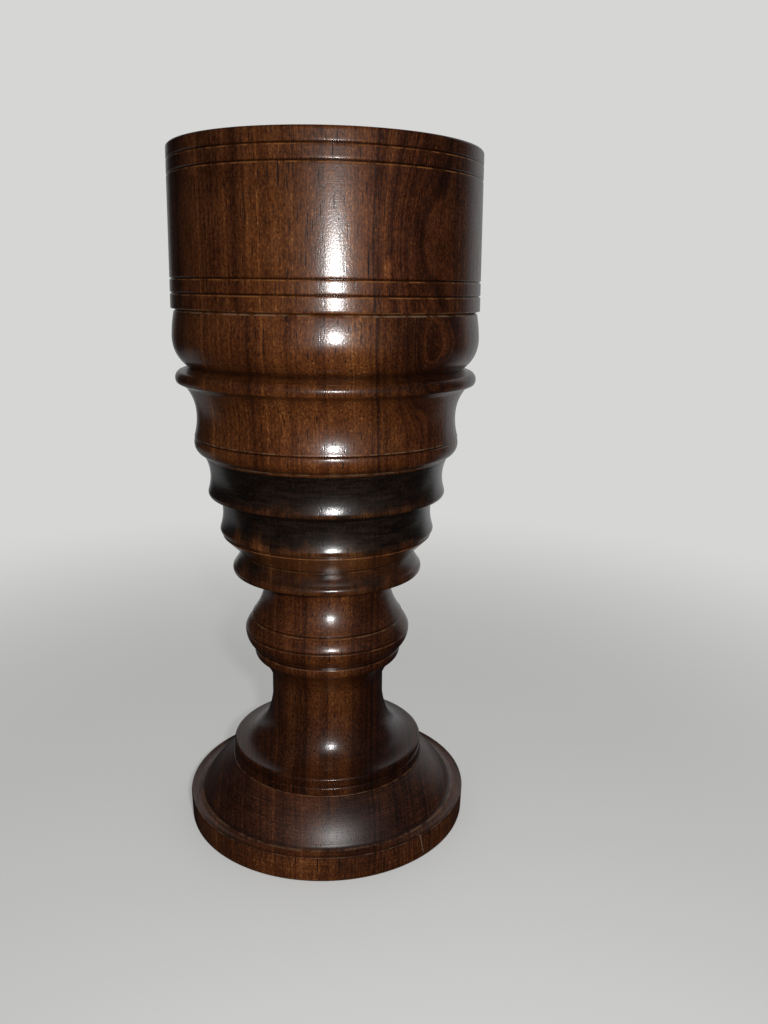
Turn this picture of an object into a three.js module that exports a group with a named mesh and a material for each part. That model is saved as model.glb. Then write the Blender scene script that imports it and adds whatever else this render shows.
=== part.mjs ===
// A turned goblet that holds cigars: five rosewood turnings, glued spigot into socket,
// and a baize disc let in under the foot.
// Millimetres, +Z up. The origin is the centre of the base, on the surface that it stands on.
import * as THREE from 'three';

// Height from the table to the rim
const totalHeight = 250;

// Foot, from the table up: upright rim, shallow hollow, ovolo
const footRadius = 54.7;
const footRimFlare = 0.3;
const footRimRise = 10;
const footHollowWidth = 5.5;
const footHollowRise = 0.4;
const footHollowDepth = 1;
const ovoloShoulder = 7;
const ovoloLean = 3.9;
const ovoloRise = 12.5;
const footStepRise = 0.6;

// Baize disc in its recess
const padRadius = 46;
const padThickness = 1.5;

// Stem, from the foot up: fillet, quirk, nosing, trumpet, neck, knop, shoulder.
// Its lowest insets go in from the radius where it stands on the foot.
const stemFootRadius = 37.6;
const filletInset = 0.3;
const filletRise = 2.7;
const quirkInset = 0.8;
const quirkRise = 0.3;
const nosingInset = 0.3;
const nosingRise = 2.9;
const nosingBow = 0.1;
const brimInset = 1.2;
const brimRise = 0.7;
const trumpetRise = 17.9;
const trumpetDip = 0.2;
const trumpetDraw = 2.3;
const neckRadius = 21.8;
const neckRise = 9.2;
const knopUnderRadius = 26.3;
const knopUnderRise = 7.3;
const knopUnderBow = -0.5;
const knopLowerRadius = 28.3;
const knopLowerRise = 4.8;
const knopLowerBow = 0.9;
const knopRadius = 31.8;
const knopRise = 7.4;
const knopBow = 0.9;
const knopUpperRadius = 29.1;
const knopUpperRise = 5.3;
const knopUpperBow = 0.3;
const shoulderRadius = 24.3;
const shoulderRise = 12;
const shoulderBow = -0.9;
const stemTopRise = 4;

// Bowl, from the collar up: lip, small bead, cove, flange, big bead.
// Each inset is how far the tool goes in from the full radius of the cup.
const cupRadius = 54.9;
const lipInset = 9.3;
const lipRise = 1;
const smallBeadInset = 6.5;
const smallBeadRise = 6.2;
const smallBeadBow = 1.25;
const coveInset = 7.5;
const coveLowRise = 9;
const coveLowBow = -0.38;
const coveTopInset = 3.9;
const coveTopRise = 9.5;
const coveTopBow = -0.8;
const flangeLowInset = 1;
const flangeUnderRise = 1.4;
const flangeTopInset = 1.7;
const flangeEdgeRise = 3.9;
const flangeEdgeBow = 0.75;
const bigBeadNeckInset = 5.3;
const flangeTopRise = 1.5;
const bigBeadRise = 10.9;
const bigBeadBow = 1.6;
const bigBeadTopInset = 0.8;
const bigBeadTopRise = 8.2;
const bigBeadTopBow = 0.12;
const notchRise = 0.5;
const notchDepth = 1.8;

// Mouth band, from the notch up to the rim
const rimTaper = 0.6;
const rimEdge = 0.6;
const lowGrooveHeight = 5.1;
const highGrooveHeight = 4.7;
const groovePairGap = 4.8;

// Hollow of the cup
const cupWall = 6.9;
const mouthWall = 5.7;
const floorThickness = 10.4;
const hollowFullness = 35;
const hollowFloorReach = 30;

// Stepped collar, from the stem up: skirt, chamfer, lower tier, upper tier.
// Its insets go in from the lip of the bowl.
const skirtUnderRise = 2.3;
const skirtLowInset = 10;
const skirtEdgeRise = 3.2;
const skirtTopInset = 10.7;
const skirtEdgeBow = 0.7;
const waistInset = 13.7;
const skirtSlopeRise = 3.9;
const skirtSlopeBow = 0.3;
const chamferInset = 6.2;
const chamferRise = 7.8;
const lowerTierInset = 5.3;
const lowerTierEdgeRise = 2;
const lowerTierTopInset = 6.1;
const lowerTierRise = 10.8;
const lowerTierBow = -0.75;
const upperTierLowInset = 1.8;
const upperTierUnderRise = 2.3;
const upperTierInset = 1.5;
const upperTierEdgeRise = 1.7;
const collarTopInset = 0.7;
const upperTierRise = 12.6;
const upperTierBow = -1;
const tierEdgeBow = 0.2;

// Scribed lines
const grooveDepth = 0.5;
const grooveWidth = 0.9;

// Glued joints
const jointClearance = 0.3;
const endClearance = 0.4;
const footSpigotRadius = 16;
const footSpigotLength = 12;
const stemSpigotRadius = 14;
const stemSpigotLength = 16;
const bowlSpigotRadius = 22;
const bowlSpigotLength = 12;
const lapWall = 3.2;
const lapRise = 7;

// Facets
const sides = 48;
const facetLength = 3.5;

// Heights where one turning sits on the next
const ovoloTop = footRimRise + footHollowRise + ovoloRise;
const footTop = ovoloTop + footStepRise;
const nosingLow = footTop + filletRise + quirkRise;
const trumpetLow = nosingLow + nosingRise + brimRise;
const neckLow = trumpetLow + trumpetRise;
const knopLow = neckLow + neckRise + knopUnderRise;
const knopMiddle = knopLow + knopLowerRise + knopRise;
const stemTop = knopMiddle + knopUpperRise + shoulderRise + stemTopRise;
const chamferTop = stemTop + skirtUnderRise + skirtEdgeRise + skirtSlopeRise + chamferRise;
const lowerTierTop = chamferTop + lowerTierEdgeRise + lowerTierRise;
const upperTierLow = lowerTierTop + upperTierUnderRise;
const collarTop = upperTierLow + upperTierEdgeRise + upperTierRise;
const smallBeadTop = collarTop + lipRise + smallBeadRise;
const coveTop = smallBeadTop + coveLowRise + coveTopRise;
const bigBeadLow = coveTop + flangeUnderRise + flangeEdgeRise + flangeTopRise;
const bowlTop = bigBeadLow + bigBeadRise + bigBeadTopRise + notchRise;
const rimTop = totalHeight;
const hollowFloor = collarTop + floorThickness;

// Radii that two turnings share
const lipRadius = cupRadius - lipInset;
const collarTopRadius = lipRadius - collarTopInset;
const notchRadius = cupRadius - notchDepth;
const hollowRadius = cupRadius - cupWall;
const lapRadius = hollowRadius + lapWall;

// A turned outline runs up the outside of a piece, so a bow that is positive swells outwards.
class Outline {
  constructor(radius, height) {
    this.points = [new THREE.Vector2(radius, height)];
  }

  get end() {
    return this.points[this.points.length - 1];
  }

  to(radius, height) {
    this.points.push(new THREE.Vector2(radius, height));
    return this;
  }

  along(curve) {
    const steps = Math.max(2, Math.ceil(curve.getLength() / facetLength));
    this.points.push(...curve.getPoints(steps).slice(1));
    return this;
  }

  bow(radius, height, swell) {
    const start = this.end;
    const finish = new THREE.Vector2(radius, height);
    const chord = finish.clone().sub(start).normalize();
    const middle = start.clone().add(finish).multiplyScalar(0.5);
    const pull = new THREE.Vector2(chord.y, -chord.x).multiplyScalar(2 * swell);
    return this.along(new THREE.QuadraticBezierCurve(start, middle.add(pull), finish));
  }

  sweep(cornerRadius, cornerHeight, radius, height) {
    const corner = new THREE.Vector2(cornerRadius, cornerHeight);
    const finish = new THREE.Vector2(radius, height);
    return this.along(new THREE.QuadraticBezierCurve(this.end, corner, finish));
  }

  // A scribed line at the end of a bow: in to its bottom and out again
  scribe(radius, height, swell = 0) {
    const half = grooveWidth / 2;
    if (swell === 0) this.to(radius, height - half);
    else this.bow(radius, height - half, swell);
    return this.to(radius - grooveDepth, height).to(radius, height + half);
  }
}

const object = new THREE.Group();

function addTurning(name, outline, material) {
  const geometry = new THREE.LatheGeometry(outline.points, sides);
  geometry.rotateX(Math.PI / 2);
  const turning = new THREE.Mesh(geometry, material);
  turning.name = name;
  object.add(turning);
}

function finish(color, roughness = 0.28) {
  return new THREE.MeshStandardMaterial({ color, roughness, metalness: 0 });
}

// Foot: recess for the baize below, socket for the stem above
function footOutline() {
  const recessRadius = padRadius + jointClearance;
  const socketRadius = footSpigotRadius + jointClearance;
  const socketFloor = footTop - footSpigotLength - endClearance;
  const rimRadius = footRadius + footRimFlare;
  const ovoloRadius = rimRadius - footHollowWidth;
  const ovoloLow = footRimRise + footHollowRise;
  const seatRadius = stemFootRadius + jointClearance;
  return new Outline(0, padThickness)
    .to(recessRadius, padThickness)
    .to(recessRadius, 0)
    .to(footRadius, 0)
    .to(rimRadius, footRimRise)
    .bow(ovoloRadius, ovoloLow, -footHollowDepth)
    .sweep(ovoloRadius - ovoloLean, ovoloLow + ovoloShoulder, seatRadius, ovoloTop)
    .to(seatRadius, footTop)
    .to(socketRadius, footTop)
    .to(socketRadius, socketFloor)
    .to(0, socketFloor);
}

// Stem: spigots at both ends, and the knop with its three scribed lines
function stemOutline() {
  const knopUnder = neckLow + neckRise;
  const knopLower = knopLow + knopLowerRise;
  const knopUpper = knopMiddle + knopUpperRise;
  return new Outline(0, footTop - footSpigotLength)
    .to(footSpigotRadius, footTop - footSpigotLength)
    .to(footSpigotRadius, footTop)
    .to(stemFootRadius, footTop)
    .to(stemFootRadius - filletInset, footTop + filletRise)
    .to(stemFootRadius - quirkInset, nosingLow)
    .bow(stemFootRadius - nosingInset, nosingLow + nosingRise, nosingBow)
    .to(stemFootRadius - brimInset, trumpetLow)
    .sweep(neckRadius + trumpetDraw, trumpetLow - trumpetDip, neckRadius, neckLow)
    .to(neckRadius, knopUnder)
    .bow(knopUnderRadius, knopLow, knopUnderBow)
    .scribe(knopLowerRadius, knopLower, knopLowerBow)
    .scribe(knopRadius, knopMiddle, knopBow)
    .scribe(knopUpperRadius, knopUpper, knopUpperBow)
    .bow(shoulderRadius, knopUpper + shoulderRise, shoulderBow)
    .to(shoulderRadius, stemTop)
    .to(stemSpigotRadius, stemTop)
    .to(stemSpigotRadius, stemTop + stemSpigotLength)
    .to(0, stemTop + stemSpigotLength);
}

// Stepped collar: a socket in each end
function collarOutline() {
  const lowSocketRadius = stemSpigotRadius + jointClearance;
  const lowSocketFloor = stemTop + stemSpigotLength + endClearance;
  const highSocketRadius = bowlSpigotRadius + jointClearance;
  const highSocketFloor = collarTop - bowlSpigotLength - endClearance;
  const skirtLow = stemTop + skirtUnderRise;
  const skirtTop = skirtLow + skirtEdgeRise;
  return new Outline(0, lowSocketFloor)
    .to(lowSocketRadius, lowSocketFloor)
    .to(lowSocketRadius, stemTop)
    .to(shoulderRadius + jointClearance, stemTop)
    .to(lipRadius - skirtLowInset, skirtLow)
    .bow(lipRadius - skirtTopInset, skirtTop, skirtEdgeBow)
    .bow(lipRadius - waistInset, skirtTop + skirtSlopeRise, skirtSlopeBow)
    .scribe(lipRadius - chamferInset, chamferTop)
    .bow(lipRadius - lowerTierInset, chamferTop + lowerTierEdgeRise, tierEdgeBow)
    .bow(lipRadius - lowerTierTopInset, lowerTierTop, lowerTierBow)
    .to(lipRadius - upperTierLowInset, upperTierLow)
    .bow(lipRadius - upperTierInset, upperTierLow + upperTierEdgeRise, tierEdgeBow)
    .bow(collarTopRadius, collarTop, upperTierBow)
    .to(highSocketRadius, collarTop)
    .to(highSocketRadius, highSocketFloor)
    .to(0, highSocketFloor);
}

// Bowl: spigot below, lap above, and the rounded floor of the hollow
function bowlOutline() {
  const spigotEnd = collarTop - bowlSpigotLength;
  const flangeLow = coveTop + flangeUnderRise;
  const bigBeadMiddle = bigBeadLow + bigBeadRise;
  const lapTop = bowlTop + lapRise;
  const hollow = new THREE.CubicBezierCurve(
    new THREE.Vector2(hollowRadius, lapTop),
    new THREE.Vector2(hollowRadius, lapTop - hollowFullness),
    new THREE.Vector2(hollowFloorReach, hollowFloor),
    new THREE.Vector2(0, hollowFloor),
  );
  return new Outline(0, spigotEnd)
    .to(bowlSpigotRadius, spigotEnd)
    .to(bowlSpigotRadius, collarTop)
    .to(collarTopRadius, collarTop)
    .to(lipRadius, collarTop + lipRise)
    .scribe(cupRadius - smallBeadInset, smallBeadTop, smallBeadBow)
    .bow(cupRadius - coveInset, smallBeadTop + coveLowRise, coveLowBow)
    .bow(cupRadius - coveTopInset, coveTop, coveTopBow)
    .to(cupRadius - flangeLowInset, flangeLow)
    .bow(cupRadius - flangeTopInset, flangeLow + flangeEdgeRise, flangeEdgeBow)
    .to(cupRadius - bigBeadNeckInset, bigBeadLow)
    .bow(cupRadius, bigBeadMiddle, bigBeadBow)
    .bow(cupRadius - bigBeadTopInset, bigBeadMiddle + bigBeadTopRise, bigBeadTopBow)
    .to(notchRadius, bowlTop)
    .to(lapRadius, bowlTop)
    .to(lapRadius, lapTop)
    .to(hollowRadius, lapTop)
    .along(hollow);
}

// Mouth band: a ring with a rebate that slips over the lap, and two pairs of scribed lines
function bandOutline() {
  const rebateRadius = lapRadius + jointClearance;
  const rebateTop = bowlTop + lapRise + endClearance;
  const bandFoot = bowlTop + notchRise;
  const rimRadius = cupRadius - rimTaper;
  const mouthRadius = rimRadius - mouthWall;
  const wallRadius = (height) => THREE.MathUtils.mapLinear(height, bandFoot, rimTop, cupRadius, rimRadius);
  const lowGroove = bandFoot + lowGrooveHeight;
  const highGroove = rimTop - highGrooveHeight - groovePairGap;
  const outline = new Outline(rebateRadius, bowlTop)
    .to(notchRadius, bowlTop)
    .to(cupRadius, bandFoot);
  for (const groove of [lowGroove, lowGroove + groovePairGap, highGroove, highGroove + groovePairGap]) {
    outline.scribe(wallRadius(groove), groove);
  }
  return outline
    .to(rimRadius, rimTop - rimEdge)
    .to(rimRadius - rimEdge, rimTop)
    .to(mouthRadius + rimEdge, rimTop)
    .to(mouthRadius, rimTop - rimEdge)
    .to(hollowRadius, rebateTop)
    .to(rebateRadius, rebateTop)
    .to(rebateRadius, bowlTop);
}

function padOutline() {
  return new Outline(0, 0)
    .to(padRadius, 0)
    .to(padRadius, padThickness)
    .to(0, padThickness);
}

const rosewood = 0x4a2416;
const paleRosewood = 0x55301c;
const ebonised = 0x1c1310;
const greenBaize = 0x25402e;

addTurning('base_pad', padOutline(), finish(greenBaize, 0.95));
addTurning('foot', footOutline(), finish(rosewood));
addTurning('stem', stemOutline(), finish(rosewood));
addTurning('stepped_collar', collarOutline(), finish(ebonised));
addTurning('bowl', bowlOutline(), finish(rosewood));
addTurning('mouth_band', bandOutline(), finish(paleRosewood));

export default object;
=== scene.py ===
import math
import bpy
import bmesh
from mathutils import Matrix, Vector


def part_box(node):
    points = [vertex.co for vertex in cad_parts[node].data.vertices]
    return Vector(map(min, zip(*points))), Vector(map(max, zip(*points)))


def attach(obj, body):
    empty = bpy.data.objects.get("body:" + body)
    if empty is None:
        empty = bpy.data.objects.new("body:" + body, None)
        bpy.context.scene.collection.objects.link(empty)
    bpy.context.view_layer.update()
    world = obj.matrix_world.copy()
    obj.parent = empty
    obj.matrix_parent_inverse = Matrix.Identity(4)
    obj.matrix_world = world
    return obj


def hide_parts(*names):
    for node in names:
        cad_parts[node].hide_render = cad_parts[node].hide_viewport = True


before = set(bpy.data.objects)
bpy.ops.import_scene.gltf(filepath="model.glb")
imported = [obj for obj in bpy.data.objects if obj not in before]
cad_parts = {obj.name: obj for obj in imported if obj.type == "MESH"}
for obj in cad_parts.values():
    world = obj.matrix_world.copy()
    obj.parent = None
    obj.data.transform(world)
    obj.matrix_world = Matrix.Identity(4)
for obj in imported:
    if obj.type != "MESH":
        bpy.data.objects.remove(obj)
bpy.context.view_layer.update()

turning = {
    "sides": 240,           # faces round each piece, fine enough for a smooth silhouette
    "step": 0.75,           # mm between the points of a curve
    "guard": 0.8,           # mm from a corner to the ring that keeps the shading of a wall flat
    "smoothAngle": 32,      # degrees, past which an edge stays crisp
    "easeSegments": 3,      # faces over an eased corner
    "sameSpot": 0.01, "mergeWithin": 0.004,      # mm
}


def mm(value):
    return value / 1000


def boxOf(node):
    low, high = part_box(node)
    return {"radius": high.x * 1000, "low": low.z * 1000, "high": high.z * 1000}


# Where one turning sits on the next
seat = {
    "footTop": boxOf("foot")["high"],
    "stemTop": boxOf("stepped_collar")["low"],
    "collarTop": boxOf("stepped_collar")["high"],
    "bowlTop": boxOf("mouth_band")["low"],
    "rimTop": boxOf("mouth_band")["high"],
    "cupRadius": boxOf("bowl")["radius"],
}

# Fits between the pieces, in mm like every length below
joint = {
    "clearance": 0.3, "endClearance": 0.4,
    "footSpigotRadius": 16, "footSpigotLength": 12,
    "stemSpigotRadius": 14, "stemSpigotLength": 16,
    "bowlSpigotRadius": 22, "bowlSpigotLength": 12,
    "cupWall": 6.9, "lapWall": 3.2, "lapRise": 7, "notchDepth": 1.8, "notchRise": 0.5,
    "lipInset": 9.3, "collarTopInset": 0.7,
    "grooveDepth": 0.5, "grooveWidth": 0.9, "grooveSoft": 0.1, "grooveRoot": 0.06,
    "spigotEase": 0.4, "socketEase": 0.2, "seatEase": 0.15,
}
lipRadius = seat["cupRadius"] - joint["lipInset"]
collarTopRadius = lipRadius - joint["collarTopInset"]
notchRadius = seat["cupRadius"] - joint["notchDepth"]
hollowRadius = seat["cupRadius"] - joint["cupWall"]
lapRadius = hollowRadius + joint["lapWall"]


def stackUp(start, v, names):
    # The height where each named turning ends, one standing on the last
    ends = {}
    for name in names.split():
        start += v[name + "Rise"]
        ends[name] = start
    return ends


# An outline is a list of points: radius, height, and how much the corner there is eased
def lineTo(outline, radius, height, ease=0):
    lastRadius, lastHeight = outline[-1][:2]
    run, rise = radius - lastRadius, height - lastHeight
    length = math.hypot(run, rise)
    if length > 3 * turning["guard"]:
        for along in (turning["guard"], length - turning["guard"]):
            share = along / length
            outline.append((lastRadius + run * share, lastHeight + rise * share, 0))
    outline.append((radius, height, ease))


def curveTo(outline, corner, radius, height, ease=0):
    start = outline[-1]
    length = math.hypot(radius - start[0], height - start[1])
    steps = max(4, math.ceil(length / turning["step"]))
    for i in range(1, steps + 1):
        t = i / steps
        a, b, c = (1 - t) ** 2, 2 * t * (1 - t), t ** 2
        outline.append((a * start[0] + b * corner[0] + c * radius,
                        a * start[1] + b * corner[1] + c * height,
                        ease if i == steps else 0))


def bowTo(outline, radius, height, swell, ease=0):
    # A shallow arc that stands swell mm off its chord, outwards where swell is positive
    start = outline[-1]
    run, rise = radius - start[0], height - start[1]
    length = math.hypot(run, rise)
    corner = ((start[0] + radius) / 2 + 2 * swell * rise / length,
              (start[1] + height) / 2 - 2 * swell * run / length)
    curveTo(outline, corner, radius, height, ease)


def scribe(outline, radius, height, swell=0):
    # The skew chisel's V line at the end of a stretch
    half = joint["grooveWidth"] / 2
    if swell:
        bowTo(outline, radius, height - half, swell, joint["grooveSoft"])
    else:
        lineTo(outline, radius, height - half, joint["grooveSoft"])
    outline.append((radius - joint["grooveDepth"], height, joint["grooveRoot"]))
    outline.append((radius, height + half, joint["grooveSoft"]))


def hollowTo(outline, fullness, reach, floor):
    # The gouge's cut down the inside of the cup to its middle
    start = outline[-1]
    a, b, c, d = (start[0], start[1]), (start[0], start[1] - fullness), (reach, floor), (0, floor)
    steps = math.ceil((start[0] + start[1] - floor) / (2 * turning["step"]))
    for i in range(1, steps + 1):
        t = i / steps
        weights = ((1 - t) ** 3, 3 * t * (1 - t) ** 2, 3 * t ** 2 * (1 - t), t ** 3)
        outline.append((sum(w * p[0] for w, p in zip(weights, (a, b, c, d))),
                        sum(w * p[1] for w, p in zip(weights, (a, b, c, d))), 0))


def selectCorners(piece, corners):
    mesh = bmesh.from_edit_mesh(piece.data)
    near = mm(turning["sameSpot"])
    for vert in mesh.verts:
        vert.select = any(abs(vert.co.x - mm(r)) < near and abs(vert.co.z - mm(z)) < near for r, z in corners)
    mesh.select_flush_mode()
    bmesh.update_edit_mesh(piece.data)


def layCutLength(piece, firstPoint):
    # How far the chisel has travelled along the outline, for the tool lines of the finish
    mesh = bmesh.from_edit_mesh(piece.data)
    layer = mesh.verts.layers.float.new("cutLength")
    vert = min(mesh.verts, key=lambda v: (v.co - firstPoint).length)
    travelled, edge = 0.0, None
    while True:
        vert[layer] = travelled * 1000
        ahead = [e for e in vert.link_edges if e is not edge]
        if not ahead:
            break
        edge = ahead[0]
        travelled += edge.calc_length()
        vert = edge.other_vert(vert)
    bmesh.update_edit_mesh(piece.data)


def turnPiece(name, node, outline):
    bpy.ops.object.select_all(action="DESELECT")
    bpy.ops.mesh.primitive_plane_add(size=mm(1), location=(0, 0, 0))
    piece = bpy.context.object
    piece.name = piece.data.name = name
    bpy.ops.object.mode_set(mode="EDIT")
    bpy.ops.mesh.select_mode(type="VERT")
    bpy.ops.mesh.merge(type="CENTER")
    firstPoint = Vector((mm(outline[0][0]), 0, mm(outline[0][1])))
    bpy.ops.transform.translate(value=firstPoint)
    for last, point in zip(outline, outline[1:]):
        move = (mm(point[0] - last[0]), 0, mm(point[1] - last[1]))
        bpy.ops.mesh.extrude_region_move(TRANSFORM_OT_translate={"value": move})
    for ease in sorted({p[2] for p in outline if p[2]}):
        selectCorners(piece, [(p[0], p[1]) for p in outline if p[2] == ease])
        bpy.ops.mesh.bevel(offset=mm(ease), segments=turning["easeSegments"], affect="VERTICES", clamp_overlap=True)
    layCutLength(piece, firstPoint)
    bpy.ops.mesh.select_all(action="SELECT")
    bpy.ops.mesh.spin(steps=turning["sides"], angle=math.tau, center=(0, 0, 0), axis=(0, 0, 1))
    bpy.ops.mesh.select_all(action="SELECT")
    bpy.ops.mesh.remove_doubles(threshold=mm(turning["mergeWithin"]))
    bpy.ops.mesh.normals_make_consistent(inside=False)
    bpy.ops.object.mode_set(mode="OBJECT")
    bpy.ops.object.shade_smooth_by_angle(angle=math.radians(turning["smoothAngle"]))
    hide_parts(node)
    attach(piece, "root")
    print("turned", name, len(piece.data.polygons), "faces")
    return piece


# Foot: upright rim, shallow hollow, ovolo, with a recess below and a socket above
foot = {
    "rimRadius": 54.7, "rimFlare": 0.3, "rimRise": 10, "rimEase": 0.8, "tableEase": 0.6,
    "hollowWidth": 5.5, "hollowRise": 0.4, "hollowDepth": 1,
    "ovoloShoulder": 7, "ovoloLean": 3.9, "stemSeat": 37.6, "seatStep": 0.6, "stepEase": 0.15,
    "padRadius": 46, "padThickness": 1.5, "padEase": 0.3,
}


def turnFoot(v=foot):
    top = seat["footTop"]
    recess = v["padRadius"] + joint["clearance"]
    socket = joint["footSpigotRadius"] + joint["clearance"]
    socketFloor = top - joint["footSpigotLength"] - joint["endClearance"]
    rim = v["rimRadius"] + v["rimFlare"]
    ovolo = rim - v["hollowWidth"]
    ovoloLow = v["rimRise"] + v["hollowRise"]
    outline = [(0, v["padThickness"], 0)]
    lineTo(outline, recess, v["padThickness"])
    lineTo(outline, recess, 0, joint["socketEase"])
    lineTo(outline, v["rimRadius"], 0, v["tableEase"])
    lineTo(outline, rim, v["rimRise"], v["rimEase"])
    bowTo(outline, ovolo, ovoloLow, -v["hollowDepth"])
    shoulder = (ovolo - v["ovoloLean"], ovoloLow + v["ovoloShoulder"])
    curveTo(outline, shoulder, v["stemSeat"] + joint["clearance"], top - v["seatStep"])
    lineTo(outline, v["stemSeat"] + joint["clearance"], top, v["stepEase"])
    lineTo(outline, socket, top, joint["socketEase"])
    lineTo(outline, socket, socketFloor)
    lineTo(outline, 0, socketFloor)
    return turnPiece("turnedFoot", "foot", outline)


# Stem: fillet, quirk, nosing, trumpet, neck and the knop with its three scribed lines
stem = {
    "footRadius": 37.6, "filletRise": 2.7, "filletInset": 0.3, "quirkRise": 0.3, "quirkInset": 0.8,
    "nosingInset": 0.3, "nosingRise": 2.9, "nosingBow": 0.1,
    "brimInset": 1.2, "brimRise": 0.7, "brimBow": 0.12, "brimEase": 0.5,
    "trumpetRise": 17.9, "trumpetShoulder": -0.2, "trumpetDraw": 2.3,
    "neckRadius": 21.8, "neckRise": 9.2,
    "knopUnderRadius": 26.3, "knopUnderRise": 7.3, "knopUnderBow": -0.5,
    "knopLowerRadius": 28.3, "knopLowerRise": 4.8, "knopLowerBow": 0.9,
    "knopRadius": 31.8, "knopRise": 7.4, "knopBow": 0.9,
    "knopUpperRadius": 29.1, "knopUpperRise": 5.3, "knopUpperBow": 0.3,
    "shoulderRadius": 24.3, "shoulderRise": 12, "shoulderBow": -0.9, "edgeEase": 0.25,
}
stemEnds = stackUp(seat["footTop"], stem,
                   "fillet quirk nosing brim trumpet neck knopUnder knopLower knop knopUpper shoulder")
knopLines = ("knopLower", "knop", "knopUpper")


def turnStem(v=stem, ends=stemEnds):
    low, top, full = seat["footTop"], seat["stemTop"], v["footRadius"]
    lowEnd, highEnd = low - joint["footSpigotLength"], top + joint["stemSpigotLength"]
    outline = [(0, lowEnd, 0)]
    lineTo(outline, joint["footSpigotRadius"], lowEnd, joint["spigotEase"])
    lineTo(outline, joint["footSpigotRadius"], low)
    lineTo(outline, full, low, v["edgeEase"])
    lineTo(outline, full - v["filletInset"], ends["fillet"], v["edgeEase"])
    lineTo(outline, full - v["quirkInset"], ends["quirk"])
    bowTo(outline, full - v["nosingInset"], ends["nosing"], v["nosingBow"], v["brimEase"])
    bowTo(outline, full - v["brimInset"], ends["brim"], v["brimBow"], v["brimEase"])
    shoulder = (v["neckRadius"] + v["trumpetDraw"], ends["brim"] + v["trumpetShoulder"])
    curveTo(outline, shoulder, v["neckRadius"], ends["trumpet"])
    lineTo(outline, v["neckRadius"], ends["neck"])
    bowTo(outline, v["knopUnderRadius"], ends["knopUnder"], v["knopUnderBow"], v["edgeEase"])
    for line in knopLines:
        scribe(outline, v[line + "Radius"], ends[line], v[line + "Bow"])
    bowTo(outline, v["shoulderRadius"], ends["shoulder"], v["shoulderBow"])
    lineTo(outline, v["shoulderRadius"], top)
    lineTo(outline, joint["stemSpigotRadius"], top)
    lineTo(outline, joint["stemSpigotRadius"], highEnd, joint["spigotEase"])
    lineTo(outline, 0, highEnd)
    return turnPiece("turnedStem", "stem", outline)


# Stepped collar: skirt, chamfer, lower tier, upper tier. Insets go in from the lip of the bowl.
collar = {
    "skirtUnderRise": 2.3, "skirtLowInset": 10, "skirtEdgeRise": 3.2, "skirtTopInset": 10.7, "skirtEdgeBow": 0.7,
    "waistInset": 13.7, "skirtSlopeRise": 3.9, "skirtSlopeBow": 0.3, "chamferInset": 6.2, "chamferRise": 7.8,
    "lowerInset": 5.3, "lowerEdgeRise": 2, "lowerTopInset": 6.1, "lowerRise": 10.8, "lowerBow": -0.75,
    "upperLowInset": 1.8, "upperUnderRise": 2.3, "upperInset": 1.5, "upperEdgeRise": 1.7,
    "upperBow": -1.25, "tierEdgeBow": 0.2, "tierEdgeEase": 0.4, "edgeEase": 0.3,
}
collarEnds = stackUp(seat["stemTop"], collar,
                     "skirtUnder skirtEdge skirtSlope chamfer lowerEdge lower upperUnder upperEdge")


def turnCollar(v=collar, ends=collarEnds):
    low, top = seat["stemTop"], seat["collarTop"]
    lowSocket = joint["stemSpigotRadius"] + joint["clearance"]
    lowSocketFloor = low + joint["stemSpigotLength"] + joint["endClearance"]
    highSocket = joint["bowlSpigotRadius"] + joint["clearance"]
    highSocketFloor = top - joint["bowlSpigotLength"] - joint["endClearance"]
    outline = [(0, lowSocketFloor, 0)]
    lineTo(outline, lowSocket, lowSocketFloor)
    lineTo(outline, lowSocket, low)
    lineTo(outline, stem["shoulderRadius"] + joint["clearance"], low)
    lineTo(outline, lipRadius - v["skirtLowInset"], ends["skirtUnder"], v["edgeEase"])
    bowTo(outline, lipRadius - v["skirtTopInset"], ends["skirtEdge"], v["skirtEdgeBow"], v["edgeEase"])
    bowTo(outline, lipRadius - v["waistInset"], ends["skirtSlope"], v["skirtSlopeBow"])
    scribe(outline, lipRadius - v["chamferInset"], ends["chamfer"])
    bowTo(outline, lipRadius - v["lowerInset"], ends["lowerEdge"], v["tierEdgeBow"], v["tierEdgeEase"])
    bowTo(outline, lipRadius - v["lowerTopInset"], ends["lower"], v["lowerBow"])
    lineTo(outline, lipRadius - v["upperLowInset"], ends["upperUnder"], v["edgeEase"])
    bowTo(outline, lipRadius - v["upperInset"], ends["upperEdge"], v["tierEdgeBow"], v["tierEdgeEase"])
    bowTo(outline, collarTopRadius, top, v["upperBow"], joint["seatEase"])
    lineTo(outline, highSocket, top)
    lineTo(outline, highSocket, highSocketFloor)
    lineTo(outline, 0, highSocketFloor)
    return turnPiece("steppedCollar", "stepped_collar", outline)


# Bowl: lip, small bead, cove, flange and big bead, with the hollow's rounded floor inside.
# Insets go in from the cup's full radius.
bowl = {
    "lipRise": 1, "lipEase": 0.25, "smallBeadInset": 6.5, "smallBeadRise": 6.2, "smallBeadBow": 1.25,
    "coveInset": 7.5, "coveLowRise": 9, "coveLowBow": -0.38,
    "coveTopInset": 3.9, "coveTopRise": 9.5, "coveTopBow": -0.8,
    "flangeLowInset": 1, "flangeUnderRise": 1.4, "flangeTopInset": 1.7, "flangeEdgeRise": 3.9,
    "flangeEdgeBow": 0.75, "flangeEase": 0.35, "beadNeckInset": 5.3, "flangeTopRise": 1.5,
    "beadRise": 10.3, "beadBow": 1.45, "beadTopInset": 1, "beadTopRise": 8.8, "beadTopBow": 0.2,
    "floorThickness": 10.4, "hollowFullness": 35, "floorReach": 30,
}
bowlEnds = stackUp(seat["collarTop"], bowl,
                   "lip smallBead coveLow coveTop flangeUnder flangeEdge flangeTop bead beadTop")


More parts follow.
